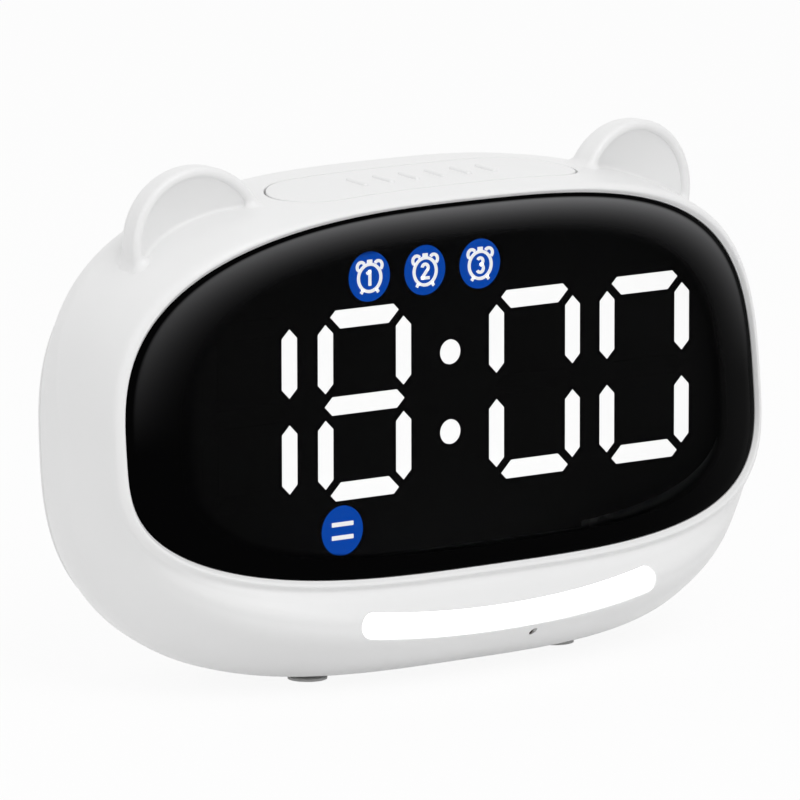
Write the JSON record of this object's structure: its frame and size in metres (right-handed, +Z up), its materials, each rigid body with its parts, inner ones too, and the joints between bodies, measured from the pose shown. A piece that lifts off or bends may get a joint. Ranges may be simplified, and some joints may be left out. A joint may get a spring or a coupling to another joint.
{
  "type": "kids alarm clock with night light",
  "caption": "Oval digital alarm clock with a wrapped dark screen, two ears, a snooze button in the top, a night-light strip in the chin and press controls at the rear.",
  "frame": {"origin": "centre of the clock's footprint on the table, under its bounding box", "axes": "+X to the right as seen from the screen side, -Y the screen side, +Z up"},
  "size_m": [0.161, 0.0586, 0.1054],
  "materials": {
    "white_shell": "satin gloss moulded ABS",
    "white_button": "satin gloss moulded ABS",
    "dark_lens": "polished smoked acrylic",
    "black_tape": "foam tape",
    "black_plastic": "moulded",
    "lit_digit": "translucent light guide",
    "blue_icon": "translucent film",
    "white_mark": "printed ink",
    "led_ivory": "chip package",
    "green_board": "solder mask on glass laminate",
    "component": "small electronic parts",
    "steel": "plated",
    "speaker_body": "satin",
    "light_strip": "milky diffuser",
    "dark_sensor": "smoked clear",
    "cell_steel": "plated steel can",
    "contact_brass": "plated spring",
    "foot_rubber": "soft pale pad"
  },
  "bodies": {
    "housing": {"front_housing": "white_shell", "display_lens": "dark_lens", "lens_tape": "black_tape", "reflector_block": "black_plastic", "hour_tens": "lit_digit", "hour_units": "lit_digit", "minute_tens": "lit_digit", "minute_units": "lit_digit", "colon_dots": "lit_digit", "icon_discs": "blue_icon", "icon_marks": "white_mark", "segment_leds": "led_ivory", "display_board": "green_board", "display_screws": "steel", "board_link": "black_plastic", "main_board": "green_board", "controller_chip": "black_plastic", "board_components": "component", "tact_switches": "black_plastic", "usb_socket": "steel", "board_screws": "steel", "speaker": "speaker_body", "snooze_switch": "black_plastic", "snooze_board": "green_board", "snooze_board_screws": "steel", "night_light_diffuser": "light_strip", "night_light_reflector": "white_shell", "night_light_board": "green_board", "night_light_leds": "led_ivory", "light_sensor": "dark_sensor", "rear_cover": "white_shell", "coin_cell": "cell_steel", "battery_contacts": "contact_brass", "housing_screws": "steel", "rubber_feet": "foot_rubber"},
    "snooze_button": {"snooze_button": "white_button"},
    "set_button": {"set_button": "white_button"},
    "down_button": {"down_button": "white_button"},
    "up_button": {"up_button": "white_button"},
    "alarm_button": {"alarm_button": "white_button"},
    "light_button": {"light_button": "white_button"},
    "battery_door": {"battery_door": "white_shell", "door_screw": "steel"}
  },
  "joints": [
    {"name": "snooze_press", "type": "slide", "parent": "housing", "child": "snooze_button", "axis": [0, 0, -1], "range_m": [0, 0.0012], "stiffness_N_per_m": 900, "springref_m": -0.0012},
    {"name": "set_press", "type": "slide", "parent": "housing", "child": "set_button", "axis": [0, -1, 0], "range_m": [0, 0.0008], "stiffness_N_per_m": 800, "springref_m": -0.0008},
    {"name": "down_press", "type": "slide", "parent": "housing", "child": "down_button", "axis": [0, -1, 0], "range_m": [0, 0.0008], "stiffness_N_per_m": 800, "springref_m": -0.0008},
    {"name": "up_press", "type": "slide", "parent": "housing", "child": "up_button", "axis": [0, -1, 0], "range_m": [0, 0.0008], "stiffness_N_per_m": 800, "springref_m": -0.0008},
    {"name": "alarm_press", "type": "slide", "parent": "housing", "child": "alarm_button", "axis": [0, -1, 0], "range_m": [0, 0.0008], "stiffness_N_per_m": 800, "springref_m": -0.0008},
    {"name": "light_press", "type": "slide", "parent": "housing", "child": "light_button", "axis": [0, -1, 0], "range_m": [0, 0.0008], "stiffness_N_per_m": 800, "springref_m": -0.0008},
    {"name": "battery_door_lift", "type": "slide", "parent": "housing", "child": "battery_door", "axis": [0, 1, 0], "range_m": [0, 0.03]}
  ]
}
